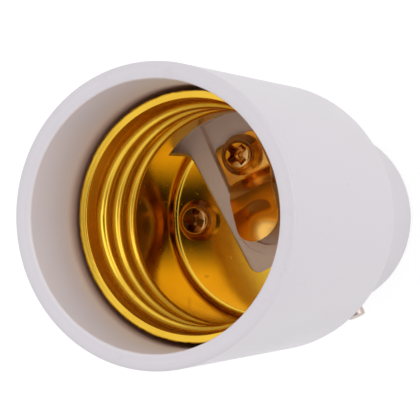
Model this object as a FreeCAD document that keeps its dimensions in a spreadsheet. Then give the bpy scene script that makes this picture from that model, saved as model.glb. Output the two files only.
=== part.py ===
import FreeCAD, Part
import math
import os
import Sketcher

# Lamp socket adapter: an E27 screw socket on a B22 bayonet neck.
# +Z points out of the screw mouth and the neck's end rests on z = 0.
# The bayonet pins lie along Y and the end contacts along X.

# Driving sizes in millimetres, with angles in degrees
SIZES = [
    ("total_length", 52.0),
    ("rim_width", 1.95),
    ("rim_bevel", 0.35),
    ("rim_chamfer", 0.35),
    ("mouth_bore_gap", 0.75),
    ("floor_bore_gap", 0.2),
    ("skirt_wall", 1.3),
    ("shoulder_height", 17.0),
    ("shoulder_flat", 1.8),
    ("floor_wall", 2.8),
    ("slab_thickness", 4.8),
    ("neck_radius", 11.0),
    ("neck_wall", 1.6),
    ("neck_bevel", 0.6),
    ("neck_end_bevel", 0.35),
    ("seat_ledge", 0.5),
    ("channel_side_gap", 0.4),
    ("channel_depth", 1.2),
    ("channel_end_gap", 0.6),
    ("insulator_recess", 0.6),
    ("insulator_thickness", 2.2),
    ("pin_height", 5.6),
    ("pin_radius", 1.1),
    ("pin_step", 0.2),
    ("pin_undercut", 0.1),
    ("pin_stand", 2.4),
    ("pin_tail", 0.6),
    ("pin_chamfer", 0.3),
    ("contact_edge", 3.9),
    ("contact_head_radius", 2.5),
    ("contact_shank_radius", 1.0),
    ("clinch_radius", 1.6),
    ("clinch_thickness", 0.5),
    ("clinch_gap", 0.2),
    ("lead_thickness", 0.5),
    ("lead_foot_width", 3.4),
    ("fit_clearance", 0.05),
    ("sheet_thickness", 0.4),
    ("crest_radius", 12.35),
    ("groove_depth", 0.95),
    ("groove_crown_width", 1.1),
    ("land_width", 1.029),
    ("ridge_gap", 0.129),
    ("ridge_cover", 0.65),
    ("thread_pitch", 3.629),
    ("thread_turns", 2.73),
    ("thread_start_angle", 154.0),
    ("thread_runout", 1.407),
    ("entry_depth", 2.7),
    ("entry_step", 1.0),
    ("lip_height", 21.7),
    ("lip_flare", 0.55),
    ("lip_depth", 0.8),
    ("lip_edge", 0.3),
    ("shell_foot_margin", 0.15),
    ("notch_half_width", 4.5),
    ("notch_widening", 0.076),
    ("notch_end", 5.6),
    ("notch_corner", 1.3),
    ("window_height", 6.9),
    ("strip_width", 5.8),
    ("strip_thickness", 0.5),
    ("strip_heel", 2.25),
    ("strip_heel_corner", 0.8),
    ("riser_angle", 45.0),
    ("riser_rise", 1.9),
    ("tongue_angle", 29.0),
    ("tongue_overhang", 2.4),
    ("strip_bend_round", 0.5),
    ("dome_radius", 1.7),
    ("dome_crown_radius", 0.9),
    ("dome_height", 0.55),
    ("screw_head_radius", 2.5),
    ("screw_head_height", 1.9),
    ("screw_head_round", 1.3),
    ("screw_shank_radius", 1.2),
    ("screw_length", 4.0),
    ("recess_arm", 1.55),
    ("recess_half_width", 0.42),
    ("recess_depth", 1.2),
    ("centre_screw_place", 8.35),
    ("shell_screw_inset", 0.4),
    ("shell_screw_y", 3.5),
    ("shell_lead_inset", 1.0),
    ("shell_lead_width", 2.3),
    ("centre_lead_width", 4.4),
    ("centre_lead_leg_y", 4.2),
    ("tab_reach", 2.2),
]

# Sizes and places that follow from the driving ones
FOLLOWING = [
    ("floor_height", "=shoulder_height + floor_wall"),
    ("neck_ceiling", "=floor_height - slab_thickness"),
    ("entry_radius", "=crest_radius + groove_depth + fit_clearance"),
    ("lip_radius", "=entry_radius + sheet_thickness + lip_flare"),
    ("floor_bore_radius", "=lip_radius + floor_bore_gap"),
    ("mouth_bore_radius", "=lip_radius + mouth_bore_gap"),
    ("shoulder_radius", "=floor_bore_radius + skirt_wall"),
    ("mouth_radius", "=mouth_bore_radius + rim_width"),
    ("shoulder_round", "=shoulder_radius - neck_radius - shoulder_flat"),
    ("neck_bore_radius", "=neck_radius - neck_wall"),
    ("seat_radius", "=neck_bore_radius + seat_ledge"),
    ("seat_height", "=insulator_recess + insulator_thickness"),
    ("pin_shank_radius", "=pin_radius - pin_step"),
    ("pin_reach", "=neck_radius + pin_stand"),
    ("contact_x", "=seat_radius - contact_edge"),
    ("shell_lead_leg_y", "=clinch_radius + clinch_gap"),
    ("shell_lead_far_x", "=neck_bore_radius - shell_lead_inset"),
    ("shell_lead_near_x", "=shell_lead_far_x - shell_lead_width"),
    ("channel_half_width", "=strip_width / 2 + channel_side_gap"),
    ("channel_floor", "=floor_height - channel_depth"),
    ("shell_floor_top", "=floor_height + sheet_thickness"),
    ("shell_screw_x", "=(2 * crest_radius - shell_screw_inset) / 3"),
    ("screw_clearance_radius", "=screw_shank_radius + 3 * fit_clearance"),
    ("shell_screw_reach", "=sqrt(shell_screw_x ^ 2 + shell_screw_y ^ 2) + screw_head_radius"),
    ("shell_foot", "=crest_radius - shell_screw_reach - shell_foot_margin"),
    ("shell_foot_outside", "=shell_foot + sheet_thickness * (2 - sqrt(2))"),
    ("entry_z", "=floor_height + lip_height - entry_depth"),
    ("lip_z", "=floor_height + lip_height"),
    ("thread_start_z", "=entry_z + thread_runout - thread_turns * thread_pitch"),
    ("groove_width", "=thread_pitch - land_width"),
    ("ridge_width", "=thread_pitch - ridge_gap"),
    ("strip_top", "=channel_floor + strip_thickness"),
    ("strip_heel_y", "=0 - centre_screw_place - strip_heel"),
    ("strip_bend_y", "=screw_head_radius + strip_bend_round / 2 - centre_screw_place"),
    ("tongue_y", "=strip_bend_y + riser_rise / tan(riser_angle * 1 deg)"),
    ("tongue_z", "=strip_top + riser_rise"),
    ("tip_z", "=tongue_z + (tongue_overhang - tongue_y) * tan(tongue_angle * 1 deg)"),
]

doc = FreeCAD.newDocument("LampSocketAdapter")
sheet = doc.addObject("Spreadsheet::Sheet", "Sizes")
for row, (alias, size) in enumerate(SIZES + FOLLOWING, 1):
    sheet.set(f"A{row}", alias)
    sheet.set(f"B{row}", str(size))
    sheet.setAlias(f"B{row}", alias)
doc.recompute()
ALIASES = {alias for alias, size in SIZES + FOLLOWING}


def bound(text):
    """Write each size's name as a reference to its cell."""
    words = []
    for word in text.replace("(", "( ").replace(")", " )").split():
        name = word.lstrip("-")
        words.append(word.replace(name, f"Sizes.{name}") if name in ALIASES else word)
    return " ".join(words)


def number(text):
    """Work out an expression of sizes as a plain number."""
    result = sheet.evalExpression(bound(text))
    return float(getattr(result, "Value", result))


def bind(thing, prop, text):
    thing.setExpression(prop, bound(text))


def new_body(label):
    body = doc.addObject("PartDesign::Body", label)
    body.Label = label
    return body


def origin_plane(body, role):
    return next(item for item in body.Origin.OriginFeatures if item.Role == role)


def new_sketch(body, name, plane, lift="", turn=""):
    """Add a sketch on an origin plane, lifted along its normal or turned about its own vertical."""
    sketch = body.newObject("Sketcher::SketchObject", name)
    sketch.AttachmentSupport = (origin_plane(body, plane), [""])
    sketch.MapMode = "FlatFace"
    if turn:
        sketch.AttachmentOffset = FreeCAD.Placement(FreeCAD.Vector(), FreeCAD.Vector(0, 1, 0), 1)
        bind(sketch, "AttachmentOffset.Rotation.Angle", turn)
    if lift:
        bind(sketch, "AttachmentOffset.Base.z", lift)
    return sketch


def pin_point(sketch, geometry, spot, x, y):
    """Tie a point of the sketch to expressions for its two coordinates."""
    for kind, text in (("DistanceX", x), ("DistanceY", y)):
        index = sketch.addConstraint(Sketcher.Constraint(kind, -1, 1, geometry, spot, number(text)))
        bind(sketch, f"Constraints[{index}]", text)


def outline(sketch, corners):
    """Draw a closed outline whose corners are given as pairs of expressions."""
    points = [FreeCAD.Vector(number(x), number(y), 0) for x, y in corners]
    first = sketch.GeometryCount
    count = len(points)
    for index in range(count):
        sketch.addGeometry(Part.LineSegment(points[index], points[(index + 1) % count]), False)
    for index in range(count):
        following = first + (index + 1) % count
        sketch.addConstraint(Sketcher.Constraint("Coincident", first + index, 2, following, 1))
    for index, (x, y) in enumerate(corners):
        pin_point(sketch, first + index, 1, x, y)


def eased_corner(radius, height, ease_size, side):
    """Corner points of a quarter round in two equal steps, below its height or above it."""
    middle = f"{radius} - {ease_size}"
    return [
        (middle, f"{height} + {side} * {ease_size}"),
        (f"{middle} + {ease_size} * cos( 45 deg )", f"{height} + {side} * {ease_size} * sin( 45 deg )"),
        (radius, height),
    ]


def circle(sketch, x, y, radius):
    centre = FreeCAD.Vector(number(x), number(y), 0)
    geometry = sketch.addGeometry(Part.Circle(centre, FreeCAD.Vector(0, 0, 1), number(radius)), False)
    pin_point(sketch, geometry, 3, x, y)
    index = sketch.addConstraint(Sketcher.Constraint("Radius", geometry, number(radius)))
    bind(sketch, f"Constraints[{index}]", radius)


def changed_volume(body, feature, grows):
    """Recompute and make sure that the feature really added or removed material."""
    before = body.Tip.BaseFeature.Shape.Volume if body.Tip.BaseFeature else 0.0
    doc.recompute()
    after = feature.Shape.Volume
    if grows != (after > before + 1e-6):
        raise RuntimeError(f"{body.Label}.{feature.Name} changed nothing: {before} to {after}")
    return feature


def revolve(body, sketch, name):
    feature = body.newObject("PartDesign::Revolution", name)
    feature.Profile = sketch
    feature.ReferenceAxis = (sketch, ["V_Axis"])
    feature.Angle = 360
    return changed_volume(body, feature, True)


def pad(body, sketch, name, length, midplane=False, reverse=False):
    feature = body.newObject("PartDesign::Pad", name)
    feature.Profile = sketch
    feature.Midplane = midplane
    feature.Reversed = reverse
    bind(feature, "Length", length)
    return changed_volume(body, feature, True)


def pocket(body, sketch, name, length, midplane=False):
    feature = body.newObject("PartDesign::Pocket", name)
    feature.Profile = sketch
    feature.Midplane = midplane
    bind(feature, "Length", length)
    return changed_volume(body, feature, False)


def edge_names(shape, wanted):
    return [f"Edge{index}" for index, edge in enumerate(shape.Edges, 1) if wanted(edge)]


def ring_edges(radius, height):
    """Pick full circles about Z at a radius and a height."""
    def wanted(edge):
        curve = edge.Curve
        return (
            isinstance(curve, Part.Circle)
            and abs(curve.Radius - number(radius)) < 1e-4
            and abs(curve.Center.z - number(height)) < 1e-4
            and math.hypot(curve.Center.x, curve.Center.y) < 1e-4
        )
    return wanted


def ease(body, kind, name, size, wanted):
    """Round or chamfer the edges of the body's tip that the test picks."""
    base = body.Tip
    names = edge_names(base.Shape, wanted)
    if not names:
        raise RuntimeError(f"{body.Label}.{name} found no edge")
    feature = body.newObject(f"PartDesign::{kind}", name)
    feature.Base = (base, names)
    bind(feature, "Radius" if kind == "Fillet" else "Size", size)
    doc.recompute()
    return feature


# Flat blanks of the two leads at the top, and of the pockets that hold them with a margin

def rectangle(x_low, x_high, y_low, y_high, margin=""):
    low = f" - {margin}" if margin else ""
    high = f" + {margin}" if margin else ""
    return [
        (x_low + low, y_low + low),
        (x_high + high, y_low + low),
        (x_high + high, y_high + high),
        (x_low + low, y_high + high),
    ]


def shell_tab(margin=""):
    return rectangle("shell_screw_x - tab_reach", "shell_screw_x + tab_reach",
                     "-shell_screw_y - tab_reach", "tab_reach - shell_screw_y", margin)


def shell_run(margin=""):
    return rectangle("shell_lead_near_x", "shell_lead_far_x",
                     "-shell_screw_y", "shell_lead_leg_y + lead_thickness", margin)


def centre_tab(margin=""):
    return rectangle("-centre_lead_width / 2", "centre_lead_width / 2",
                     "-centre_screw_place - tab_reach", "-centre_screw_place + tab_reach", margin)


def centre_run(margin=""):
    return rectangle("-centre_lead_width / 2", "centre_lead_width / 2",
                     "-centre_screw_place", "lead_thickness - centre_lead_leg_y", margin)


# Housing: a tapered skirt, floor, shoulder and bayonet neck moulded in one

def make_housing():
    body = new_body("housing")
    section = new_sketch(body, "HousingSection", "XZ_Plane")
    outline(section, [
        ("seat_radius", "0"),
        ("neck_radius", "0"),
        ("neck_radius", "shoulder_height"),
        *eased_corner("shoulder_radius", "shoulder_height + shoulder_round", "shoulder_round", -1),
        ("mouth_radius", "total_length"),
        ("mouth_bore_radius", "total_length"),
        ("floor_bore_radius", "floor_height"),
        ("0", "floor_height"),
        ("0", "neck_ceiling"),
        ("neck_bore_radius", "neck_ceiling"),
        ("neck_bore_radius", "seat_height"),
        ("seat_radius", "seat_height"),
    ])
    revolve(body, section, "HousingTurned")
    ease(body, "Chamfer", "NeckShoulderBevel", "neck_bevel", ring_edges("neck_radius", "shoulder_height"))
    ease(body, "Chamfer", "NeckEndBevel", "neck_end_bevel", ring_edges("neck_radius", "0"))
    ease(body, "Chamfer", "RimBevel", "rim_bevel", ring_edges("mouth_radius", "total_length"))
    ease(body, "Chamfer", "RimChamfer", "rim_chamfer", ring_edges("mouth_bore_radius", "total_length"))

    # The contact's channel runs from its round well out to the skirt
    well = new_sketch(body, "WellCircle", "XY_Plane", "floor_height")
    circle(well, "0", "0", "channel_half_width")
    pocket(body, well, "Well", "channel_depth")
    channel = new_sketch(body, "ChannelOutline", "XY_Plane", "floor_height")
    channel_end = "channel_end_gap - floor_bore_radius"
    outline(channel, [
        ("-channel_half_width", "0"),
        ("-channel_half_width", channel_end),
        ("channel_half_width", channel_end),
        ("channel_half_width", "0"),
    ])
    pocket(body, channel, "Channel", "channel_depth")

    # Each lead lies in a shallow pocket under the part that it serves, and drops through a slot
    shell_slot = rectangle("shell_lead_near_x", "shell_lead_far_x", "shell_lead_leg_y",
                           "shell_lead_leg_y + lead_thickness", "fit_clearance")
    centre_slot = rectangle("-centre_lead_width / 2", "centre_lead_width / 2", "-centre_lead_leg_y",
                            "lead_thickness - centre_lead_leg_y", "fit_clearance")
    for name, corners, top, depth in (
        ("ShellLeadTab", shell_tab("fit_clearance"), "floor_height", "lead_thickness"),
        ("ShellLeadRun", shell_run("fit_clearance"), "floor_height", "lead_thickness"),
        ("ShellLeadSlot", shell_slot, "floor_height", "slab_thickness"),
        ("CentreLeadTab", centre_tab("fit_clearance"), "channel_floor", "lead_thickness"),
        ("CentreLeadRun", centre_run("fit_clearance"), "channel_floor", "lead_thickness"),
        ("CentreLeadSlot", centre_slot, "channel_floor", "slab_thickness"),
    ):
        recess = new_sketch(body, f"{name}Outline", "XY_Plane", top)
        outline(recess, corners)
        pocket(body, recess, name, depth)

    # The screws cut their own thread in pilot holes that end just past their tips
    pilots = new_sketch(body, "PilotCircles", "XY_Plane", "floor_height")
    circle(pilots, "0", "-centre_screw_place", "screw_shank_radius")
    circle(pilots, "shell_screw_x", "-shell_screw_y", "screw_shank_radius")
    pocket(body, pilots, "PilotHoles", "channel_depth - strip_thickness + screw_length + 2 * fit_clearance")

    # One cross hole through both walls of the neck takes the two pins
    pins = new_sketch(body, "PinHoleCircle", "XZ_Plane")
    circle(pins, "0", "pin_height", "pin_shank_radius")
    pocket(body, pins, "PinHoles", "3 * neck_radius", midplane=True)
    return body


# End insulator: a disc pressed into the neck's seat, with a hole for each rivet

def make_end_insulator():
    body = new_body("end_insulator")
    disc = new_sketch(body, "InsulatorOutline", "XY_Plane", "insulator_recess")
    circle(disc, "0", "0", "seat_radius - fit_clearance")
    circle(disc, "contact_x", "0", "contact_shank_radius")
    circle(disc, "-contact_x", "0", "contact_shank_radius")
    pad(body, disc, "InsulatorDisc", "insulator_thickness")
    return body


def make_end_contact(side, sign):
    """A rivet whose head lies on the insulator and whose clinched end holds a lead's foot."""
    body = new_body(f"end_contact_{side}")
    section = new_sketch(body, "RivetSection", "XZ_Plane")
    foot_top = "seat_height + lead_thickness"
    clinch_top = "seat_height + lead_thickness + clinch_thickness"
    outline(section, [
        ("0", "0"),
        ("contact_head_radius", "0"),
        ("contact_head_radius", "insulator_recess"),
        ("contact_shank_radius", "insulator_recess"),
        ("contact_shank_radius", foot_top),
        ("clinch_radius", foot_top),
        ("clinch_radius", clinch_top),
        ("0", clinch_top),
    ])
    revolve(body, section, "RivetTurned")
    bind(body, "Placement.Base.x", f"{sign} * contact_x")
    return body


def make_bayonet_pin(side, turn):
    """A stepped pin: its thin shank is pressed through the neck's wall, its stub stands outside."""
    body = new_body(f"bayonet_pin_{side}")
    stub = new_sketch(body, "PinStubCircle", "XZ_Plane", "neck_radius + pin_undercut")
    circle(stub, "0", "pin_height", "pin_radius")
    pad(body, stub, "PinStub", "pin_stand - pin_undercut")
    shank = new_sketch(body, "PinShankCircle", "XZ_Plane", "neck_bore_radius - pin_tail")
    circle(shank, "0", "pin_height", "pin_shank_radius")
    pad(body, shank, "PinShank", "neck_wall + 2 * pin_undercut + pin_tail")
    end = number("-pin_reach")

    def outer_rim(edge):
        return abs(edge.BoundBox.YMin - end) < 1e-4 and abs(edge.BoundBox.YMax - end) < 1e-4
    ease(body, "Chamfer", "PinChamfer", "pin_chamfer", outer_rim)
    body.Placement = FreeCAD.Placement(FreeCAD.Vector(), FreeCAD.Vector(0, 0, 1), turn)
    return body


# Leads: bent strips from under a screwed contact down to the insulator's rivet

def make_lead(label, top, tab_corners, run_corners, screw_x, screw_y,
              leg_corners, leg_y, foot_corners, foot_x):
    body = new_body(label)
    for name, corners in (("Tab", tab_corners), ("Run", run_corners)):
        blank = new_sketch(body, f"{name}Outline", "XY_Plane", f"{top} - lead_thickness")
        outline(blank, corners)
        pad(body, blank, name, "lead_thickness")
    # The plane's normal is -Y, so a leg that starts at leg_y is padded the other way
    leg = new_sketch(body, "LegOutline", "XZ_Plane", f"-({leg_y})")
    outline(leg, leg_corners)
    pad(body, leg, "Leg", "lead_thickness", reverse=True)
    foot = new_sketch(body, "FootOutline", "XY_Plane", "seat_height")
    outline(foot, foot_corners)
    pad(body, foot, "Foot", "lead_thickness")
    screw_hole = new_sketch(body, "ScrewHoleCircle", "XY_Plane", top)
    circle(screw_hole, screw_x, screw_y, "screw_clearance_radius")
    pocket(body, screw_hole, "ScrewHole", "lead_thickness")
    rivet_hole = new_sketch(body, "RivetHoleCircle", "XY_Plane", "seat_height + lead_thickness")
    circle(rivet_hole, foot_x, "0", "contact_shank_radius")
    pocket(body, rivet_hole, "RivetHole", "lead_thickness")
    return body


def make_shell_lead():
    jog_top = "neck_ceiling - lead_thickness"
    jog_end = "neck_ceiling - 6 * lead_thickness"
    foot_low = "contact_x - lead_foot_width / 2"
    foot_high = "contact_x + lead_foot_width / 2"
    leg_back = "shell_lead_leg_y + lead_thickness"
    leg = [
        ("shell_lead_near_x", "floor_height"),
        ("shell_lead_near_x", jog_top),
        (foot_low, jog_end),
        (foot_low, "seat_height"),
        (foot_high, "seat_height"),
        (foot_high, jog_end),
        ("shell_lead_far_x", jog_top),
        ("shell_lead_far_x", "floor_height"),
    ]
    foot = [
        (foot_low, "-lead_foot_width / 2"),
        (foot_high, "-lead_foot_width / 2"),
        (foot_high, leg_back),
        (foot_low, leg_back),
    ]
    return make_lead("shell_lead", "floor_height", shell_tab(), shell_run(), "shell_screw_x",
                     "-shell_screw_y", leg, "shell_lead_leg_y", foot, "contact_x")


def make_centre_lead():
    jog_top = "neck_ceiling - lead_thickness"
    jog_end = "seat_height + 6 * lead_thickness"
    foot_low = "-contact_x - lead_foot_width / 2"
    foot_high = "lead_foot_width / 2 - contact_x"
    leg_front = "-centre_lead_leg_y"
    leg = [
        ("centre_lead_width / 2", "channel_floor"),
        ("-centre_lead_width / 2", "channel_floor"),
        ("-centre_lead_width / 2", jog_top),
        (foot_low, jog_end),
        (foot_low, "seat_height"),
        (foot_high, "seat_height"),
        (foot_high, jog_end),
        ("centre_lead_width / 2", jog_top),
    ]
    foot = [
        (foot_low, leg_front),
        (foot_high, leg_front),
        (foot_high, "lead_foot_width / 2"),
        (foot_low, "lead_foot_width / 2"),
    ]
    return make_lead("centre_lead", "channel_floor", centre_tab(), centre_run(), "0",
                     "-centre_screw_place", leg, leg_front, foot, "-contact_x")


# Screw shell: a drawn brass cup with a thread rolled into its wall

def helix(body, kind, sketch, name):
    feature = body.newObject(f"PartDesign::{kind}", name)
    feature.Profile = sketch
    feature.ReferenceAxis = (sketch, ["V_Axis"])
    feature.Mode = "pitch-turns-angle"
    feature.LeftHanded = False
    feature.Reversed = False
    bind(feature, "Pitch", "thread_pitch")
    bind(feature, "Turns", "thread_turns")
    return changed_volume(body, feature, kind == "AdditiveHelix")


def make_screw_shell():
    body = new_body("screw_shell")
    section = new_sketch(body, "ShellSection", "XZ_Plane")
    outline(section, [
        ("0", "floor_height"),
        ("crest_radius + sheet_thickness - shell_foot_outside", "floor_height"),
        ("crest_radius + sheet_thickness", "floor_height + shell_foot_outside"),
        ("crest_radius + sheet_thickness", "entry_z - entry_step - sheet_thickness / 2"),
        ("entry_radius + sheet_thickness", "entry_z - sheet_thickness / 2"),
        ("entry_radius + sheet_thickness", "lip_z - lip_depth"),
        ("lip_radius", "lip_z - lip_edge"),
        ("lip_radius", "lip_z"),
        ("entry_radius", "lip_z"),
        ("entry_radius", "entry_z"),
        ("crest_radius", "entry_z - entry_step"),
        ("crest_radius", "shell_floor_top + shell_foot"),
        ("crest_radius - shell_foot", "shell_floor_top"),
        ("0", "shell_floor_top"),
    ])
    revolve(body, section, "ShellDrawn")

    # The peaked ridge outside and the groove inside are one rolled wave of the sheet
    ridge = new_sketch(body, "RidgeSection", "XZ_Plane", turn="thread_start_angle * 1 deg")
    outline(ridge, [
        ("crest_radius + sheet_thickness / 2", "thread_start_z - ridge_width / 2"),
        ("crest_radius + groove_depth + ridge_cover", "thread_start_z"),
        ("crest_radius + sheet_thickness / 2", "thread_start_z + ridge_width / 2"),
    ])
    helix(body, "AdditiveHelix", ridge, "RolledRidge")
    bore = new_sketch(body, "EntryCircle", "XY_Plane", "lip_z + groove_width")
    circle(bore, "0", "0", "entry_radius")
    pocket(body, bore, "EntryBore", "entry_depth + groove_width")
    groove = new_sketch(body, "GrooveSection", "XZ_Plane", turn="thread_start_angle * 1 deg")
    outline(groove, [
        ("crest_radius - sheet_thickness / 2", "thread_start_z - groove_width / 2"),
        ("crest_radius + groove_depth", "thread_start_z - groove_crown_width / 2"),
        ("crest_radius + groove_depth", "thread_start_z + groove_crown_width / 2"),
        ("crest_radius - sheet_thickness / 2", "thread_start_z + groove_width / 2"),
    ])
    helix(body, "SubtractiveHelix", groove, "RolledGroove")
    return body


def finish_screw_shell(body):
    """Cut the notch through the floor, the window through the wall, and the screw hole."""
    notch = new_sketch(body, "NotchOutline", "XY_Plane", "floor_height + window_height")
    wide = "notch_half_width + (mouth_radius + notch_end) * notch_widening"
    outline(notch, [
        ("-notch_half_width", "notch_end"),
        ("notch_half_width", "notch_end"),
        (wide, "-mouth_radius"),
        (f"-({wide})", "-mouth_radius"),
    ])
    pocket(body, notch, "NotchAndWindow", "window_height")
    hole = new_sketch(body, "ShellScrewHoleCircle", "XY_Plane", "shell_floor_top")
    circle(hole, "shell_screw_x", "-shell_screw_y", "screw_clearance_radius")
    pocket(body, hole, "ShellScrewHole", "sheet_thickness")

    def corner(edge):
        middle = edge.CenterOfMass
        return (
            abs(abs(middle.x) - number("notch_half_width")) < 1e-3
            and abs(middle.y - number("notch_end")) < 1e-3
            and edge.Length < 2 * number("sheet_thickness")
        )
    ease(body, "Fillet", "NotchCorners", "notch_corner", corner)
    return body


# Centre contact: a strip with a flat foot, a riser and a raised tongue with a domed tip

def make_centre_contact():
    body = new_body("centre_contact")
    side = new_sketch(body, "StripSide", "YZ_Plane")
    half_riser = "tan(riser_angle * 0.5 deg)"
    mean_angle = "(riser_angle + tongue_angle) * 0.5 deg"
    half_turn = "(riser_angle - tongue_angle) * 0.5 deg"
    outline(side, [
        ("strip_heel_y", "strip_top"),
        ("strip_bend_y", "strip_top"),
        ("tongue_y", "tongue_z"),
        ("tongue_overhang", "tip_z"),
        (
            "tongue_overhang + strip_thickness * sin( tongue_angle * 1 deg )",
            "tip_z - strip_thickness * cos( tongue_angle * 1 deg )",
        ),
        (
            f"tongue_y + strip_thickness * sin({mean_angle}) / cos({half_turn})",
            f"tongue_z - strip_thickness * cos({mean_angle}) / cos({half_turn})",
        ),
        (f"strip_bend_y + strip_thickness * {half_riser}", "channel_floor"),
        ("strip_heel_y", "channel_floor"),
    ])
    pad(body, side, "Strip", "strip_width", midplane=True)

    def across(y, z):
        def wanted(edge):
            middle = edge.CenterOfMass
            return (
                abs(middle.x) < 1e-4
                and abs(middle.y - number(y)) < 1e-3
                and abs(middle.z - number(z)) < 1e-3
            )
        return wanted

    def upright(low, high):
        def wanted(edge):
            middle = edge.CenterOfMass
            return (
                abs(abs(middle.x) - number("strip_width / 2")) < 1e-4
                and number(low) < middle.y < number(high)
                and edge.Length < 1.01 * number("strip_thickness")
            )
        return wanted

    ease(body, "Fillet", "TipRound", "strip_width / 2 - fit_clearance",
         upright("tongue_overhang", "tongue_overhang + strip_thickness"))
    ease(body, "Fillet", "HeelRound", "strip_heel_corner",
         upright("strip_heel_y - strip_thickness", "strip_heel_y + strip_thickness"))
    ease(body, "Fillet", "RiserTopBend", "strip_bend_round + strip_thickness",
         across("tongue_y", "tongue_z"))
    ease(body, "Fillet", "RiserFootBend", "strip_bend_round", across("strip_bend_y", "strip_top"))
    ease(body, "Fillet", "RiserFootUnder", "strip_bend_round + strip_thickness",
         across(f"strip_bend_y + strip_thickness * {half_riser}", "channel_floor"))

    hole = new_sketch(body, "CentreScrewHoleCircle", "XY_Plane", "strip_top")
    circle(hole, "0", "-centre_screw_place", "screw_clearance_radius")
    pocket(body, hole, "CentreScrewHole", "strip_thickness")

    # The pressed dome is a blunt cone above the tongue, hollowed by a smaller one from below
    dome_z = "(tongue_z - tongue_y * tan(tongue_angle * 1 deg))"
    for kind, name, shrink, sink in (
        ("AdditiveCone", "DomeTop", "0", "0"),
        ("SubtractiveCone", "DomeHollow", "strip_thickness / 2", "strip_thickness"),
    ):
        cone = body.newObject(f"PartDesign::{kind}", name)
        bind(cone, "Radius1", f"dome_radius - {shrink}")
        bind(cone, "Radius2", f"dome_crown_radius - {shrink}")
        bind(cone, "Height", "dome_height")
        cone.Placement = FreeCAD.Placement(FreeCAD.Vector(), FreeCAD.Vector(1, 0, 0), 1)
        bind(cone, "Placement.Rotation.Angle", "tongue_angle * 1 deg")
        bind(cone, "Placement.Base.y", f"{sink} * sin( tongue_angle * 1 deg )")
        bind(cone, "Placement.Base.z", f"{dome_z} - {sink} * cos( tongue_angle * 1 deg )")
        changed_volume(body, cone, kind == "AdditiveCone")
    return body


def make_screw(label, x, y, seat):
    """A pan head screw with a cross recess; its head bears on the seat height."""
    body = new_body(label)
    shoulder = eased_corner("screw_head_radius", "screw_head_height - screw_head_round", "screw_head_round", 1)
    section = new_sketch(body, "ScrewSection", "XZ_Plane")
    outline(section, [
        ("0", "-screw_length"),
        ("screw_shank_radius", "-screw_length"),
        ("screw_shank_radius", "0"),
        ("screw_head_radius", "0"),
        *reversed(shoulder),
        ("0", "screw_head_height"),
    ])
    revolve(body, section, "ScrewTurned")
    recess = new_sketch(body, "RecessOutline", "XY_Plane", "screw_head_height")
    arm = "recess_arm"
    half = "recess_half_width"
    outline(recess, [
        (arm, half), (half, half), (half, arm),
        (f"-{half}", arm), (f"-{half}", half), (f"-{arm}", half),
        (f"-{arm}", f"-{half}"), (f"-{half}", f"-{half}"), (f"-{half}", f"-{arm}"),
        (half, f"-{arm}"), (half, f"-{half}"), (arm, f"-{half}"),
    ])
    pocket(body, recess, "CrossRecess", "recess_depth")
    bind(body, "Placement.Base.x", x)
    bind(body, "Placement.Base.y", y)
    bind(body, "Placement.Base.z", seat)
    return body


def main():
    pieces = [make_housing(), make_end_insulator()]
    for side, sign in (("left", -1), ("right", 1)):
        pieces.append(make_end_contact(side, sign))
    for side, turn in (("left", 0), ("right", 180)):
        pieces.append(make_bayonet_pin(side, turn))
    pieces += [make_shell_lead(), make_centre_lead(), make_centre_contact()]
    pieces.append(finish_screw_shell(make_screw_shell()))
    pieces.append(make_screw("centre_screw", "0", "-centre_screw_place", "strip_top"))
    pieces.append(make_screw("shell_screw", "shell_screw_x", "-shell_screw_y", "shell_floor_top"))
    doc.recompute()

    for item in doc.Objects:
        if "Invalid" in item.State or "Error" in item.State:
            raise RuntimeError(f"{item.Name} failed: {item.State}")
    os.makedirs("parts", exist_ok=True)
    for piece in pieces:
        shape = piece.Shape
        if shape.isNull() or not shape.isValid():
            raise RuntimeError(f"{piece.Label} has no valid shape")
        print(f"{piece.Label}: {len(shape.Solids)} solid, {shape.Volume:.2f} cubic mm")
        shape.exportStep(f"parts/{piece.Label}.step")


main()
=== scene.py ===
import math
import random

import bmesh
import bpy
from mathutils import Matrix, Vector


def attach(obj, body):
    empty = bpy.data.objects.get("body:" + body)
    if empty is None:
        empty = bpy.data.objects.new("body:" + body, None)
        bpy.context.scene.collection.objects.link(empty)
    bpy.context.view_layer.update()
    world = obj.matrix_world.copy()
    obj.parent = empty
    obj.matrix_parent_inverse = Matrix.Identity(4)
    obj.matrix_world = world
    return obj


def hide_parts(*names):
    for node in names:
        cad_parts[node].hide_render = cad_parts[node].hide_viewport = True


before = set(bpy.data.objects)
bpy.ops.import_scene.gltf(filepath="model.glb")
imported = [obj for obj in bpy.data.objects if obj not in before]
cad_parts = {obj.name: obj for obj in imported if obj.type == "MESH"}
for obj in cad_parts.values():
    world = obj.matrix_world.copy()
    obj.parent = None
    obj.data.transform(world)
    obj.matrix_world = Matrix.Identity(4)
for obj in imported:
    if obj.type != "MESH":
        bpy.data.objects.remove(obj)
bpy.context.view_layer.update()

scene = bpy.context.scene
MM = 0.001
TURN = 2 * math.pi
X_AXIS = Vector((1, 0, 0))
Y_AXIS = Vector((0, 1, 0))

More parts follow.
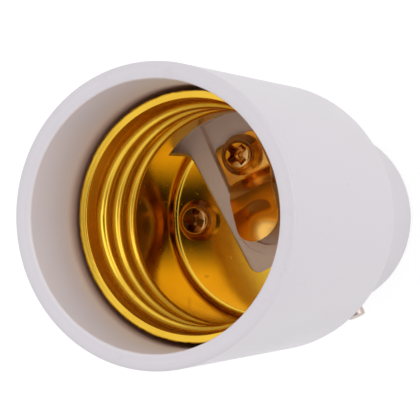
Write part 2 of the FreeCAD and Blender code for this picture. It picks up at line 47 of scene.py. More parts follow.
# Sizes in millimetres that several pieces share
TOP = 52.0
SHOULDER = 17.0
NECK_RADIUS = 11.0
SEAT_RADIUS = 9.9
SEAT_HEIGHT = 2.8
FLOOR = 19.8
CHANNEL_FLOOR = 18.6
SHEET = 0.4
LEAD = 0.5
SHELL_FLOOR = FLOOR + SHEET
CREST = 12.35
GROOVE_DEPTH = 0.95
ENTRY_RADIUS = 13.35
PITCH = 3.629
LIP = 41.5
CENTRE_SCREW = Vector((0.0, -8.35, 19.1))
SHELL_SCREW = Vector((8.1, -3.5, SHELL_FLOOR))
CONTACT_X = 6.0
RIVET_SHANK = 1.0
INSULATOR_RECESS = 0.6
PIN_HEIGHT = 5.6
PIN_SHANK = 0.9

# Direction round the axis that lies on the photograph's right
PHOTO_RIGHT = math.radians(154)


# Shader expressions

class Value:
    """A shader socket that takes part in Python sums."""

    def __init__(self, finish, socket):
        self.finish = finish
        self.socket = socket

    def __add__(self, other):
        return self.finish.math("ADD", self, other)

    __radd__ = __add__

    def __sub__(self, other):
        return self.finish.math("SUBTRACT", self, other)

    def __rsub__(self, other):
        return self.finish.math("SUBTRACT", other, self)

    def __mul__(self, other):
        return self.finish.math("MULTIPLY", self, other)

    __rmul__ = __mul__


class Finish:
    """A material, or the world, under construction."""

    def __init__(self, name, kept_in=bpy.data.materials):
        self.owner = kept_in.new(name)
        self.owner.use_nodes = True
        self.tree = self.owner.node_tree
        self.tree.nodes.clear()

    def node(self, kind, settings=None, inputs=None, output=0):
        """Add any node: its settings first, then its sockets, and give back one output."""
        made = self.tree.nodes.new("ShaderNode" + kind)
        for key, setting in (settings or {}).items():
            setattr(made, key, setting)
        for key, given in (inputs or {}).items():
            if isinstance(given, Value):
                self.tree.links.new(given.socket, made.inputs[key])
            else:
                made.inputs[key].default_value = given
        return Value(self, made.outputs[output]) if made.outputs else None

    def math(self, operation, *terms):
        return self.node("Math", {"operation": operation}, dict(enumerate(terms)))

    def blend(self, mask, first, second):
        """Mix two colours by a mask."""
        settings = {"data_type": "RGBA"}
        return self.node("Mix", settings, {0: mask, 6: first, 7: second}, output=2)

    def layered(self, colour, *layers):
        """Lay tints over a colour one after the other, each by its own mask."""
        for mask, tint in layers:
            colour = self.blend(mask, colour, tint)
        return colour

    def between(self, value, low, high, to_low=0.0, to_high=1.0):
        """Map a range smoothly onto another, clamped."""
        settings = {"interpolation_type": "SMOOTHSTEP"}
        inputs = {0: value, 1: low, 2: high, 3: to_low, 4: to_high}
        return self.node("MapRange", settings, inputs)

    def place(self):
        return self.node("TexCoord", output="Object")

    def axes(self, place):
        return [self.node("SeparateXYZ", None, {0: place}, output=n) for n in range(3)]

    def noise(self, place, scale, detail=3.0, roughness=0.5, distortion=0.0):
        inputs = {"Vector": place, "Scale": scale, "Detail": detail,
                  "Roughness": roughness, "Distortion": distortion}
        return self.node("TexNoise", None, inputs)

    def stretched(self, place, stretch):
        return self.node("Mapping", None, {"Vector": place, "Scale": stretch})

    def bump(self, height, strength, distance):
        inputs = {"Height": height, "Strength": strength, "Distance": distance}
        return self.node("Bump", None, inputs)

    def looked_at(self):
        """1 for the rays that show a thing, straight, mirrored or through glass, and 0 for light."""
        rays = ("Is Camera Ray", "Is Glossy Ray", "Is Transmission Ray")
        camera, glossy, through = [self.node("LightPath", output=ray) for ray in rays]
        return self.math("MAXIMUM", self.math("MAXIMUM", camera, glossy), through)

    def surface(self, **sockets):
        """Close the material with one Principled shader."""
        inputs = {key.replace("_", " "): given for key, given in sockets.items()}
        shader = self.node("BsdfPrincipled", None, inputs)
        self.node("OutputMaterial", None, {0: shader})
        return self.owner


def grey(level):
    return (level, level, level, 1.0)


def moulded_white():
    """Glossy white moulding: flow marks, scuffed rims, a little dust, and painted light and shade in
    the mouth: painted lighter overall, painted warm bounce light from the brass, painted shade at the
    shell's lip and a floor painted lighter.
    """
    finish = Finish("moulded_white")
    place = finish.place()
    x, y, z = finish.axes(place)
    flow = finish.noise(finish.stretched(place, (60, 60, 18)), 2.0, 4.0)
    grain = finish.noise(place, 900.0, 2.0)
    dust = finish.between(finish.noise(place, 2600.0, 0.0), 0.82, 0.86)
    rim = finish.between(z, (TOP - 0.8) * MM, TOP * MM)
    foot = finish.between(z, 1.2 * MM, 0.0)
    scuffs = finish.between(finish.noise(place, 420.0, 5.0, 0.7), 0.55, 0.72) * (rim + foot)

    # The mouth is what lies near enough to the axis, above the channel's floor
    near = finish.between(x * x + y * y, (15.5 * MM) ** 2, (15.1 * MM) ** 2)
    mouth = near * finish.between(z, 18.0 * MM, 18.4 * MM)
    # Painted warm bounce light from the brass on the mouth's wall, full below 36 mm and gone by 48 mm
    painted_brass_bounce = mouth * finish.between(z, 48.0 * MM, 36.0 * MM)
    # Painted shade, browned as a painted reflection of the brass, in a band at the gap by the shell's
    # lip, from about 34 mm to 41 mm
    painted_gap_shade = mouth * finish.between(z, 43.4 * MM, 41.1 * MM) * finish.between(z, 30.0 * MM, 34.0 * MM)
    # Painted warm light on the mouth's floor, full below 20.2 mm and gone by 21.6 mm
    floor = mouth * finish.between(z, 21.6 * MM, 20.2 * MM)
    colour = finish.layered(
        finish.blend(flow, (0.685, 0.655, 0.70, 1), (0.715, 0.685, 0.725, 1)),
        # The whole mouth is painted lighter, as painted light inside it
        (mouth * 0.6, (0.84, 0.79, 0.80, 1)),
        (painted_brass_bounce * 0.8, (0.86, 0.65, 0.53, 1)),
        (painted_gap_shade * 0.72, (0.44, 0.22, 0.12, 1)),
        (floor * 0.8, (0.95, 0.84, 0.77, 1)),
        (scuffs * 0.16, (0.52, 0.49, 0.50, 1)),
        (dust * 0.2, (0.42, 0.38, 0.36, 1)),
    )
    rough = finish.between(flow, 0.3, 0.7, 0.29, 0.37) + scuffs * 0.18 + dust * 0.2
    relief = finish.bump(grain * 0.6 + flow * 0.4 - scuffs * 0.5, 0.03, 0.0002)
    return finish.surface(Base_Color=colour, Roughness=rough, Normal=relief, IOR=1.49)


def brass(name, bright, deep, roughness, drawing):
    """Drawn brass: cloudy tarnish, drawing lines, small pits, and a grain where the shell is rolled."""
    finish = Finish(name)
    place = finish.place()
    height = finish.axes(place)[2]
    rolled = finish.between(height, 28.2 * MM, 29.0 * MM)
    burnished = (finish.between(height, 38.8 * MM, 39.6 * MM)
                 * finish.between(height, 41.3 * MM, 41.1 * MM))
    grain = finish.noise(place, 4500.0, 1.0) * rolled
    cloud = finish.noise(place, 150.0, 3.0, 0.5, 0.3)
    lines = finish.noise(finish.stretched(place, drawing), 4.0, 2.0, 0.5)
    pits = finish.between(finish.noise(place, 1500.0, 0.0), 0.79, 0.83)
    stain = finish.between(finish.noise(place, 70.0, 4.0, 0.55), 0.5, 0.75)
    base = finish.blend(finish.between(cloud, 0.3, 0.7), bright, deep)
    colour = finish.blend(stain * 0.16 + pits * 0.3, base, (0.45, 0.22, 0.05, 1))
    rough = (finish.between(cloud, 0.25, 0.75, roughness, roughness + 0.06)
             + lines * 0.04 + pits * 0.15 + stain * 0.04 + rolled * 0.03 + burnished * 0.12)
    relief = finish.bump(lines * 0.8 + cloud * 0.2 - pits * 0.4 + grain * 3.0, 0.012, 0.0001)
    return finish.surface(Base_Color=colour, Metallic=1.0, Roughness=rough, Normal=relief,
                          Specular_Tint=(1.0, 0.86, 0.55, 1))


def nickel(name, dark, light, roughness):
    """Dull nickel plate with handling marks."""
    finish = Finish(name)
    place = finish.place()
    cloud = finish.noise(place, 400.0, 4.0, 0.6)
    streaks = finish.noise(finish.stretched(place, (900, 120, 900)), 1.5, 3.0)
    marks = finish.between(streaks, 0.5, 0.75)
    colour = finish.layered(dark, (cloud, light), (marks * 0.3, (0.36, 0.31, 0.27, 1)))
    rough = finish.between(cloud, 0.3, 0.7, roughness, roughness + 0.14) + marks * 0.1
    relief = finish.bump(cloud * 0.5 + marks * 0.5, 0.12, 0.00015)
    return finish.surface(Base_Color=colour, Metallic=1.0, Roughness=rough, Normal=relief)


def dark_insulator():
    """Dark moulded insulator with a cloudy sheen and pale scuffs."""
    finish = Finish("dark_insulator")
    place = finish.place()
    cloud = finish.noise(place, 260.0, 5.0, 0.6)
    streaks = finish.noise(finish.stretched(place, (700, 160, 400)), 2.0, 4.0)
    scuffs = finish.between(streaks, 0.58, 0.74)
    colour = finish.layered((0.012, 0.010, 0.009, 1),
                            (cloud, (0.030, 0.025, 0.022, 1)),
                            (scuffs * 0.3, (0.12, 0.10, 0.09, 1)))
    rough = finish.between(cloud, 0.3, 0.7, 0.34, 0.5) + scuffs * 0.12
    relief = finish.bump(cloud * 0.6 + scuffs * 0.3, 0.12, 0.0002)
    return finish.surface(Base_Color=colour, Roughness=rough, Normal=relief, IOR=1.55)


MOULDED_WHITE = moulded_white()
SHELL_BRASS = brass("shell_brass", (0.89, 0.56, 0.055, 1), (0.83, 0.50, 0.045, 1), 0.10,
                    (500, 500, 2600))
STRIP_BRASS = brass("strip_brass", (0.94, 0.54, 0.14, 1), (0.90, 0.48, 0.10, 1), 0.18,
                    (2400, 260, 260))
SCREW_BRASS = brass("screw_brass", (0.70, 0.41, 0.16, 1), (0.58, 0.32, 0.11, 1), 0.13,
                    (1200, 1200, 1200))
PIN_NICKEL = nickel("pin_nickel", (0.50, 0.41, 0.37, 1), (0.64, 0.55, 0.51, 1), 0.24)
RIVET_NICKEL = nickel("rivet_nickel", (0.58, 0.56, 0.54, 1), (0.70, 0.68, 0.66, 1), 0.28)
DARK_INSULATOR = dark_insulator()


# Building pieces

def rounded_section(bm, corners, steps):
    """Draw a closed half section from (radius, height, rounding) corners and round them off."""
    points = [Vector((r, 0.0, z)) for r, z, rounding in corners]
    verts = [bm.verts.new(point) for point in points]
    bm.faces.new(verts)
    for index, (r, z, rounding) in enumerate(corners):
        if rounding <= 0:
            continue
        before = (points[index - 1] - points[index]).normalized()
        after = (points[(index + 1) % len(points)] - points[index]).normalized()
        slide = rounding / math.tan(before.angle(after) / 2)
        bmesh.ops.bevel(bm, geom=[verts[index]], offset=slide, offset_type="OFFSET",
                        segments=steps, profile=0.5, affect="VERTICES", material=-1)
    return bm.faces[:]


def turned(corners, steps=192, rounding_steps=6):
    """Turn a rounded half section all the way round Z."""
    bm = bmesh.new()
    faces = rounded_section(bm, corners, rounding_steps)
    bmesh.ops.delete(bm, geom=faces, context="FACES_ONLY")
    on_axis = [e for e in bm.edges if all(abs(v.co.x) < 1e-6 for v in e.verts)]
    bmesh.ops.delete(bm, geom=on_axis, context="EDGES")
    bmesh.ops.spin(bm, geom=bm.verts[:] + bm.edges[:], cent=(0, 0, 0), axis=(0, 0, 1),
                   angle=TURN, steps=steps, use_merge=True)
    bmesh.ops.remove_doubles(bm, verts=bm.verts, dist=1e-4)
    bmesh.ops.recalc_face_normals(bm, faces=bm.faces)
    return bm


def block(low, high):
    """A box between two corners."""
    bm = bmesh.new()
    bmesh.ops.create_cube(bm, size=1.0)
    low, high = Vector(low), Vector(high)
    bmesh.ops.scale(bm, vec=high - low, verts=bm.verts)
    bmesh.ops.translate(bm, vec=(low + high) / 2, verts=bm.verts)
    return bm


def drum(centre, radius, low, high, top_radius=None, steps=96):
    """An upright cylinder or cone."""
    bm = bmesh.new()
    bmesh.ops.create_cone(bm, cap_ends=True, segments=steps, radius1=radius,
                          radius2=radius if top_radius is None else top_radius, depth=high - low)
    bmesh.ops.translate(bm, vec=(centre[0], centre[1], (low + high) / 2), verts=bm.verts)
    return bm


def swing(bm, verts, angle, axis, about=(0, 0, 0)):
    """Turn some vertices round an axis."""
    bmesh.ops.rotate(bm, cent=about, matrix=Matrix.Rotation(angle, 3, axis), verts=verts)


def score(bm, axis, places, reach):
    """Cut the faces across an axis at each place, so that they can be shaped there."""
    for place in places:
        bmesh.ops.bisect_plane(bm, geom=bm.verts[:] + bm.edges[:] + bm.faces[:], dist=reach,
                               plane_co=axis * place, plane_no=axis)


def as_mesh(bm, name):
    mesh = bpy.data.meshes.new(name)
    bm.to_mesh(mesh)
    bm.free()
    return mesh


def cut_away(bm, cutters):
    """Cut each cutter out of the piece, one after the other."""
    for cutter in cutters:
        blank = bpy.data.objects.new("blank", as_mesh(bm, "blank"))
        tool = bpy.data.objects.new("tool", as_mesh(cutter, "tool"))
        for item in (blank, tool):
            scene.collection.objects.link(item)
        boolean = blank.modifiers.new("cut", "BOOLEAN")
        boolean.operation = "DIFFERENCE"
        boolean.solver = "EXACT"
        boolean.object = tool
        depsgraph = bpy.context.evaluated_depsgraph_get()
        bm = bmesh.new()
        bm.from_mesh(blank.evaluated_get(depsgraph).to_mesh())
        for item in (blank, tool):
            mesh = item.data
            bpy.data.objects.remove(item)
            bpy.data.meshes.remove(mesh)
    return bm


def ease_edges(bm, wanted, size, steps):
    """Take the sharpness off the edges that the test picks."""
    edges = [e for e in bm.edges if e.is_manifold and wanted(e)]
    bmesh.ops.bevel(bm, geom=edges, offset=size, offset_type="OFFSET", segments=steps,
                    profile=0.5, affect="EDGES", clamp_overlap=True, material=-1)


def finish_piece(bm, name, material, node, sharp=32):
    """Make the object: doubles merged, shaded smooth up to an angle, and riding on the frame."""
    bmesh.ops.remove_doubles(bm, verts=bm.verts, dist=0.0008)
    bmesh.ops.dissolve_degenerate(bm, edges=bm.edges, dist=0.0005)
    bmesh.ops.recalc_face_normals(bm, faces=bm.faces)
    limit = math.radians(sharp)
    for face in bm.faces:
        face.smooth = True
    for edge in bm.edges:
        edge.smooth = edge.is_manifold and edge.calc_face_angle() < limit
    bmesh.ops.scale(bm, vec=(MM, MM, MM), verts=bm.verts)
    mesh = as_mesh(bm, name)
    mesh.materials.append(material)
    piece = bpy.data.objects.new(name, mesh)
    scene.collection.objects.link(piece)
    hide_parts(node)
    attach(piece, "root")


# Housing

CHANNEL_HALF = 3.3
ABOVE_FLOOR = FLOOR + 1.0
LEAD_SLOT_LOW = 14.0
LEAD_SLOT_WIDE = 0.6


def lead_cuts(low, high, depth):
    """A lead's pocket between two corners seen from above, and the slot at its far end."""
    pocket = block((*low, depth), (*high, ABOVE_FLOOR))
    slot = block((low[0], high[1] - LEAD_SLOT_WIDE, LEAD_SLOT_LOW), (*high, ABOVE_FLOOR))
    return [pocket, slot]


def moulded_housing():
    bm = turned([
        (SEAT_RADIUS, 0.0, 0.12),
        (NECK_RADIUS, 0.0, 0.45),
        (NECK_RADIUS, SHOULDER, 0.8),
        (15.8, SHOULDER, 3.0),
        (17.0, TOP, 0.5),
        (15.05, TOP, 0.45),
        (14.5, FLOOR, 0.25),
        (0.0, FLOOR, 0),
        (0.0, 15.0, 0),
        (9.4, 15.0, 0.3),
        (9.4, SEAT_HEIGHT, 0),
        (SEAT_RADIUS, SEAT_HEIGHT, 0),
    ], steps=224, rounding_steps=8)
    channel = block((-CHANNEL_HALF, -13.9, CHANNEL_FLOOR), (CHANNEL_HALF, 0.0, ABOVE_FLOOR))
    channel_end = drum((0, 0), CHANNEL_HALF, CHANNEL_FLOOR, ABOVE_FLOOR)
    step = drum((0, 0), 4.35, FLOOR - 0.22, ABOVE_FLOOR)
    shell_tab = block((5.85, -5.75, FLOOR - LEAD), (10.35, -1.25, ABOVE_FLOOR))
    shell_lead = lead_cuts((6.05, -1.3), (8.45, 2.35), FLOOR - LEAD)
    centre_lead = lead_cuts((-2.25, -10.6), (2.25, -3.65), CHANNEL_FLOOR - LEAD)
    pin_hole = drum((0, 0), PIN_SHANK + 0.05, -14.0, 14.0, steps=48)
    swing(pin_hole, pin_hole.verts, math.pi / 2, "X")
    bmesh.ops.translate(pin_hole, vec=(0, 0, PIN_HEIGHT), verts=pin_hole.verts)
    bm = cut_away(bm, [step, channel_end, channel, shell_tab, *shell_lead, *centre_lead, pin_hole])

    def channel_brink(edge):
        a, b = (v.co for v in edge.verts)
        level = max(abs(a.z - FLOOR), abs(b.z - FLOOR)) < 1e-3
        straight = abs(abs(a.x) - CHANNEL_HALF) < 1e-3 and abs(abs(b.x) - CHANNEL_HALF) < 1e-3
        return level and straight

    ease_edges(bm, channel_brink, 0.14, 3)
    finish_piece(bm, "moulded_housing", MOULDED_WHITE, "housing")


# Screw shell

THREAD_FOOT = 30.3
THREAD_TURNS = 2.73
GROOVE_ARC = 1.3
BROW_ARC = 0.6
ENTRY_FOOT = 39.4
FOOT_ROUND = 0.83
ROLLED_FROM = 28.3
ROLLED_TO = 40.0
ROW = 0.07
LIP_LINE = ((ENTRY_RADIUS, 40.3), (ENTRY_RADIUS, 40.8), (ENTRY_RADIUS, 41.2), (13.37, 41.29),
            (13.41, 41.35), (13.48, 41.39), (13.6, 41.41), (13.8, 41.44), (14.0, 41.47),
            (14.17, LIP), (14.25, 41.48), (14.3, 41.42))


def rolled_step(away, depth, slope):
    """Height of a rolled step at a distance from its middle: a hollow arc, then a brow arc."""
    run = math.sin(slope)
    if away <= GROOVE_ARC * run:
        return depth - GROOVE_ARC + math.sqrt(GROOVE_ARC ** 2 - away ** 2)
    left = (GROOVE_ARC + BROW_ARC) * run - away
    if left <= 0:
        return 0.0
    return BROW_ARC - math.sqrt(BROW_ARC ** 2 - left ** 2)


def step_slope(depth):
    """Slope at which the two arcs of a step meet."""
    return math.acos(1 - depth / (GROOVE_ARC + BROW_ARC))


def groove_rise(angle, height):
    """How far the rolled groove's wall stands outside the crest at a place."""
    slope = step_slope(GROOVE_DEPTH)
    rise = 0.0
    for whole in range(-1, 4):
        wound = (angle - PHOTO_RIGHT) % TURN + TURN * whole
        along = min(max(wound, 0.0), THREAD_TURNS * TURN)
        centre = THREAD_FOOT + PITCH * along / TURN
        past = abs(wound - along) * CREST
        rise = max(rise, rolled_step(math.hypot(height - centre, past * 0.55), GROOVE_DEPTH, slope))
    return rise


def entry_rise(height):
    """How far the entry's wall stands outside the crest."""
    depth = ENTRY_RADIUS - CREST
    if height >= ENTRY_FOOT:
        return depth
    return rolled_step(ENTRY_FOOT - height, depth, step_slope(depth))


def shell_section():
    """The cup's inner line, as radius and height: floor, foot, close rows to roll, entry and lip."""
    foot_start = CREST - FOOT_ROUND
    section = [(0.0, SHELL_FLOOR), (4.0, SHELL_FLOOR), (8.0, SHELL_FLOOR), (foot_start, SHELL_FLOOR)]
    for step in range(1, 9):
        sweep = math.pi / 2 * step / 8
        section.append((foot_start + FOOT_ROUND * math.sin(sweep),
                        SHELL_FLOOR + FOOT_ROUND * (1 - math.cos(sweep))))
    section += [(CREST, level) for level in (22.0, 24.0, 26.0, 27.5)]
    height = ROLLED_FROM
    while height < ROLLED_TO:
        section.append((CREST, height))
        height += ROW
    return section + list(LIP_LINE)


def rolled_shell():
    """The drawn cup: its inner face is spun, rolled into a thread, and given the sheet's thickness."""
    bm = bmesh.new()
    verts = [bm.verts.new((radius, 0.0, level)) for radius, level in shell_section()]
    for first, second in zip(verts, verts[1:]):
        bm.edges.new((first, second))
    bmesh.ops.spin(bm, geom=bm.verts[:] + bm.edges[:], cent=(0, 0, 0), axis=(0, 0, 1),
                   angle=TURN, steps=224, use_merge=True)
    bmesh.ops.remove_doubles(bm, verts=bm.verts, dist=1e-4)
    for vert in bm.verts:
        if ROLLED_FROM - 0.1 < vert.co.z < ROLLED_TO + 0.1:
            angle = math.atan2(vert.co.y, vert.co.x)
            radius = CREST + max(entry_rise(vert.co.z), groove_rise(angle, vert.co.z))
            vert.co.x = radius * math.cos(angle)
            vert.co.y = radius * math.sin(angle)
    bmesh.ops.recalc_face_normals(bm, faces=bm.faces)
    # The lip's edge is trimmed a little unevenly
    rng = random.Random(7)
    for vert in bm.verts:
        if vert.co.z > 41.4 and math.hypot(vert.co.x, vert.co.y) > 14.1:
            trim = 1 - rng.uniform(0.0, 0.007)
            vert.co.x *= trim
            vert.co.y *= trim
    # An open cup's faces are turned to look at the axis before the wall gets its thickness
    wall = max(bm.faces, key=lambda f: -abs(f.calc_center_median().z - 24))
    centre = wall.calc_center_median()
    if wall.normal.dot(Vector((centre.x, centre.y, 0))) > 0:
        bmesh.ops.reverse_faces(bm, faces=bm.faces)
    bmesh.ops.solidify(bm, geom=bm.faces[:], thickness=SHEET)
    return bm


def notch_tool():
    """The notch in the cup's floor and wall, with a slightly ragged upper edge."""
    half_width = 4.5
    half_at_wall = 6.22
    bm = block((-half_width, -17.0, FLOOR - 1.0), (half_width, 5.6, 26.7))
    for vert in bm.verts:
        if vert.co.y < 0:
            vert.co.x *= half_at_wall / half_width
    corners = [e for e in bm.edges if all(v.co.y > 5 for v in e.verts)
               and abs(e.verts[0].co.z - e.verts[1].co.z) > 1]
    bmesh.ops.bevel(bm, geom=corners, offset=1.25, offset_type="OFFSET", segments=8,
                    profile=0.5, affect="EDGES", material=-1)
    score(bm, X_AXIS, [-6.1 + 12.2 * cut / 25 for cut in range(26)], 1e-5)
    rng = random.Random(11)
    for vert in bm.verts:
        if vert.co.z > 26 and vert.co.y < -10:
            vert.co.z += rng.uniform(-0.12, 0.06)
    return bm


def rolled_screw_shell():
    bm = cut_away(rolled_shell(), [notch_tool()])
    finish_piece(bm, "rolled_screw_shell", SHELL_BRASS, "screw_shell", sharp=40)


# Centre contact

STRIP_HALF = 2.9
STRIP_THICK = 0.5
HEEL_Y = -10.6
FLAT_RUN = 5.0
RISER_RUN = 2.687
TONGUE_RUN = 6.97
DOME_AT = FLAT_RUN + RISER_RUN + 4.23
DOME_RADIUS = 2.6
DOME_HEIGHT = 0.6
RISER_BEND = 45.0
TONGUE_BEND = -19.5


def strip_blank():
    """The flat strip with a round end, scored closely at its bends and its dome."""
    length = FLAT_RUN + RISER_RUN + TONGUE_RUN
    corners = [(-STRIP_HALF, 0.0, 0.8), (STRIP_HALF, 0.0, 0.8),
               (STRIP_HALF, length, STRIP_HALF - 0.05), (-STRIP_HALF, length, STRIP_HALF - 0.05)]
    bm = bmesh.new()
    verts = [bm.verts.new((x, y, 0.0)) for x, y, rounding in corners]
    bm.faces.new(verts)
    for vert, (x, y, rounding) in zip(verts, corners):
        bmesh.ops.bevel(bm, geom=[vert], offset=rounding, offset_type="OFFSET", segments=14,
                        profile=0.5, affect="VERTICES", material=-1)
    along = [0.2 * n for n in range(1, int(length / 0.2) + 1)]
    for bend in (FLAT_RUN, FLAT_RUN + RISER_RUN):
        along += [bend + 0.06 * n + 0.001 for n in range(-6, 7)]
    along += [DOME_AT - DOME_RADIUS - 0.2 + 0.11 * n + 0.003 for n in range(36)]
    across = [-DOME_RADIUS - 0.2 + 0.11 * n + 0.002 for n in range(36)]
    score(bm, Y_AXIS, along, 1e-4)
    score(bm, X_AXIS, [place for place in across if abs(place) < STRIP_HALF], 1e-4)
    return bm


def press_dome(bm):
    """Press the dome, which runs out into a spoon towards the strip's tip."""
    for vert in bm.verts:
        along = vert.co.y - DOME_AT
        away = math.hypot(vert.co.x, along) / DOME_RADIUS
        swell = DOME_HEIGHT * max(1 - away * away, 0.0) ** 1.5
        spoon = DOME_HEIGHT * (1 - 1.25 * away * away)
        share = min(max(0.5 + 0.7 * along / DOME_RADIUS, 0.0), 1.0)
        vert.co.z += swell + (spoon - swell) * share * share * (3 - 2 * share)


def fold_strip(bm, bends, stages=8):
    """Bend the strip at each (place, turn, spread), in small stages that follow it as it turns."""
    run = {vert: vert.co.y for vert in bm.verts}
    hinge = Vector((0.0, 0.0, 0.0))
    heading = 0.0
    passed = 0.0
    for bend, turn, spread in bends:
        part = math.radians(turn) / stages
        for stage in range(stages):
            place = bend + spread * ((stage + 0.5) / stages - 0.5)
            hinge += Vector((0, math.cos(heading), math.sin(heading))) * (place - passed)
            passed = place
            swing(bm, [vert for vert in bm.verts if run[vert] > place], part, "X", about=hinge)
            heading += part


def bent_centre_contact():
    bm = strip_blank()
    press_dome(bm)
    bmesh.ops.recalc_face_normals(bm, faces=bm.faces)
    if bm.faces[:][0].normal.z < 0:
        bmesh.ops.reverse_faces(bm, faces=bm.faces)
    bmesh.ops.solidify(bm, geom=bm.faces[:], thickness=STRIP_THICK)
    ease_edges(bm, lambda e: e.calc_face_angle() > math.radians(60), 0.07, 2)
    fold_strip(bm, [(FLAT_RUN, RISER_BEND, 0.62), (FLAT_RUN + RISER_RUN, TONGUE_BEND, 0.4)])
    # The strip lies a quarter of a millimetre to one side of its channel's middle
    bmesh.ops.translate(bm, vec=(0.25, HEEL_Y, CHANNEL_FLOOR + STRIP_THICK), verts=bm.verts)
    finish_piece(bm, "bent_centre_contact", STRIP_BRASS, "centre_contact", sharp=38)


# Screws, pins, rivets and insulator

RECESS_LOW = 0.5
RECESS_HIGH = 2.05


def cross_arm(angle):
    """One tapered bar of a cross recess, sunk from the top of the head."""
    bm = bmesh.new()
    bmesh.ops.create_cube(bm, size=1.0)
    for vert in bm.verts:
        low = vert.co.z < 0
        vert.co.x *= 1.3 if low else 3.1
        vert.co.y *= 0.66 if low else 1.0
        vert.co.z = RECESS_LOW if low else RECESS_HIGH
    swing(bm, bm.verts, angle, "Z")
    return bm


def pan_screw(name, node, seat, angle):
    """A screw whose head has a flange, a neck and a crown, with its cross turned to an angle."""
    bm = turned([
        (0.0, -4.0, 0),
        (1.2, -4.0, 0.3),
        (1.2, 0.0, 0),
        (2.5, 0.0, 0.05),
        (2.5, 0.6, 0.08),
        (1.98, 1.02, 0.05),
        (1.93, 1.72, 0.62),
        (0.0, 1.78, 0),
    ], steps=96, rounding_steps=8)
    bm = cut_away(bm, [cross_arm(angle), cross_arm(angle + math.pi / 2),
                       drum((0, 0), 0.3, 0.25, RECESS_HIGH, top_radius=0.95, steps=24)])
    bmesh.ops.translate(bm, vec=seat, verts=bm.verts)
    finish_piece(bm, name, SCREW_BRASS, node, sharp=34)


def bayonet_pin(name, node, side):
    """A stepped pin turned on Z, then laid along Y and pushed into the neck's wall."""
    pin_radius = 1.1
    pin_end = 13.55
    bm = turned([
        (0.0, 8.8, 0),
        (PIN_SHANK, 8.8, 0.1),
        (PIN_SHANK, NECK_RADIUS + 0.1, 0),
        (pin_radius, NECK_RADIUS + 0.1, 0.05),
        (pin_radius, pin_end, 0.14),
        (0.0, pin_end, 0),
    ], steps=64)
    swing(bm, bm.verts, -side * math.pi / 2, "X")
    bmesh.ops.translate(bm, vec=(0, 0, PIN_HEIGHT), verts=bm.verts)
    finish_piece(bm, name, PIN_NICKEL, node)


def rivet(name, node, side):
    """A rivet through the insulator, clinched on the foot of its lead."""
    clinch = SEAT_HEIGHT + LEAD
    bm = turned([
        (0.0, 0.0, 0),
        (2.5, 0.0, 0.22),
        (2.5, INSULATOR_RECESS, 0),
        (RIVET_SHANK, INSULATOR_RECESS, 0),
        (RIVET_SHANK, clinch, 0),
        (1.6, clinch, 0),
        (1.6, 3.8, 0.2),
        (0.0, 3.8, 0),
    ], steps=80)
    bmesh.ops.translate(bm, vec=(side * CONTACT_X, 0, 0), verts=bm.verts)
    finish_piece(bm, name, RIVET_NICKEL, node)


def insulator_disc():
    bm = turned([
        (0.0, INSULATOR_RECESS, 0),
        (SEAT_RADIUS - 0.05, INSULATOR_RECESS, 0.18),
        (SEAT_RADIUS - 0.05, SEAT_HEIGHT, 0.1),
        (0.0, SEAT_HEIGHT, 0),
    ], steps=160)
    bm = cut_away(bm, [drum((side * CONTACT_X, 0), RIVET_SHANK + 0.02, 0.0, 3.5, steps=48)
                       for side in (-1, 1)])
    finish_piece(bm, "insulator_disc", DARK_INSULATOR, "end_insulator")


moulded_housing()
rolled_screw_shell()
bent_centre_contact()
pan_screw("centre_pan_screw", "centre_screw", CENTRE_SCREW, PHOTO_RIGHT + math.radians(45))
pan_screw("shell_pan_screw", "shell_screw", SHELL_SCREW, PHOTO_RIGHT + math.radians(73))
for side, hand in ((-1, "left"), (1, "right")):
    bayonet_pin("turned_pin_" + hand, "bayonet_pin_" + hand, side)
for side, hand in ((-1, "left"), (1, "right")):
    rivet("end_rivet_" + hand, "end_contact_" + hand, side)
insulator_disc()
for lead in ("shell_lead", "centre_lead"):
    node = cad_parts[lead]
    node.data.materials.clear()
    node.data.materials.append(STRIP_BRASS)


# Floor, light and camera

CAMERA_PLACE = Vector((-117.9, 58.7, 327.8)) * MM
CAMERA_LOOK = Vector((0.3678, -0.1858, -0.9110))
CAMERA_RIGHT = Vector((-0.8199, 0.3970, -0.4120))


def studio_floor():
    """A floor that looks white, keeps the object's shadow and lights it as pale card would."""
    finish = Finish("studio_floor")
    plain = finish.node("BsdfDiffuse", None, {"Color": grey(0.8)})
    shaded = finish.node("BsdfDiffuse", None, {"Color": grey(0.3)})
    glow = finish.node("Emission", None, {"Color": grey(1.0), "Strength": 0.78})
    pale = finish.node("AddShader", None, {0: shaded, 1: glow})
    mixed = finish.node("MixShader", None, {0: finish.looked_at(), 1: plain, 2: pale})
    finish.node("OutputMaterial", None, {0: mixed})
    bm = bmesh.new()
    bmesh.ops.create_grid(bm, x_segments=1, y_segments=1, size=3.0)
    # It lies a hair below the neck's end, so that the two faces don't flicker
    bmesh.ops.translate(bm, vec=(0, 0, -0.00005), verts=bm.verts)
    floor = bpy.data.objects.new("studio_floor", as_mesh(bm, "studio_floor"))
    floor.data.materials.append(finish.owner)
    scene.collection.objects.link(floor)


def studio_world(level):
    """Even light all round on a white background."""
    finish = Finish("studio_world", bpy.data.worlds)
    light = finish.node("Background", None, {"Color": (1.0, 0.985, 0.99, 1), "Strength": level})
    white = finish.node("Background", None, {"Color": grey(1.0), "Strength": 1.0})
    mixed = finish.node("MixShader", None, {0: finish.looked_at(), 1: light, 2: white})
    finish.node("OutputWorld", None, {0: mixed})
    scene.world = finish.owner


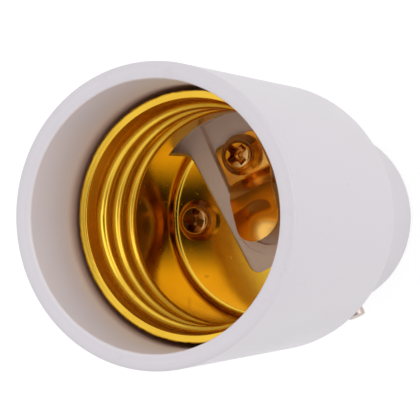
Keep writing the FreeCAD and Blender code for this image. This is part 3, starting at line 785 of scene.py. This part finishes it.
def soft_box(name, place, size, power, mirrored=True):
    """A round area lamp that looks at the mouth."""
    light = bpy.data.lights.new(name, "AREA")
    light.shape = "DISK"
    light.size = size
    light.energy = power
    lamp = bpy.data.objects.new(name, light)
    lamp.location = place
    aim = Vector((0, 0, 0.03)) - Vector(place)
    lamp.rotation_euler = aim.to_track_quat("-Z", "Y").to_euler()
    lamp.visible_glossy = mirrored
    scene.collection.objects.link(lamp)


def dark_card(distance, inner, outer):
    """A black card by the camera, feathered between two angles, for the brass to mirror."""
    inner_radius = distance * math.tan(math.radians(inner))
    outer_radius = distance * math.tan(math.radians(outer))
    finish = Finish("dark_card")
    across, along, height = finish.axes(finish.place())
    away = finish.math("SQRT", across * across + along * along)
    clear = finish.between(away, inner_radius, outer_radius)
    black = finish.node("BsdfDiffuse", None, {"Color": grey(0.02)})
    air = finish.node("BsdfTransparent")
    mixed = finish.node("MixShader", None, {0: clear, 1: black, 2: air})
    finish.node("OutputMaterial", None, {0: mixed})
    bm = bmesh.new()
    bmesh.ops.create_circle(bm, cap_ends=True, segments=64, radius=outer_radius)
    card = bpy.data.objects.new("dark_card", as_mesh(bm, "dark_card"))
    card.data.materials.append(finish.owner)
    card.location = -CAMERA_LOOK * distance
    card.rotation_euler = (-CAMERA_LOOK).to_track_quat("Z", "Y").to_euler()
    card.visible_diffuse = False
    card.visible_shadow = False
    scene.collection.objects.link(card)


def photo_camera():
    """The camera at the photograph's angle."""
    data = bpy.data.cameras.new("photo_camera")
    data.sensor_width = 36
    data.lens = 240
    data.clip_start = 0.01
    data.clip_end = 20
    camera = bpy.data.objects.new("photo_camera", data)
    right = CAMERA_RIGHT.normalized()
    look = CAMERA_LOOK.normalized()
    up = right.cross(look).normalized()
    turn = Matrix((right, up, -look)).transposed().to_4x4()
    camera.matrix_world = Matrix.Translation(CAMERA_PLACE) @ turn
    scene.collection.objects.link(camera)
    scene.camera = camera


studio_floor()
studio_world(0.79)
dark_card(0.9, 11, 28)
soft_box("mouth_box", (0.42, -0.2, 1.1), 1.0, 1.1, mirrored=False)
soft_box("mouth_glow", (0.42, -0.2, 1.1), 1.0, 0.8)
soft_box("key_box", (0.4, -0.75, 0.8), 1.2, 0.15)
soft_box("fill_box", (-0.85, 0.1, 0.4), 0.9, 1.8)
photo_camera()

scene.view_settings.view_transform = "Standard"
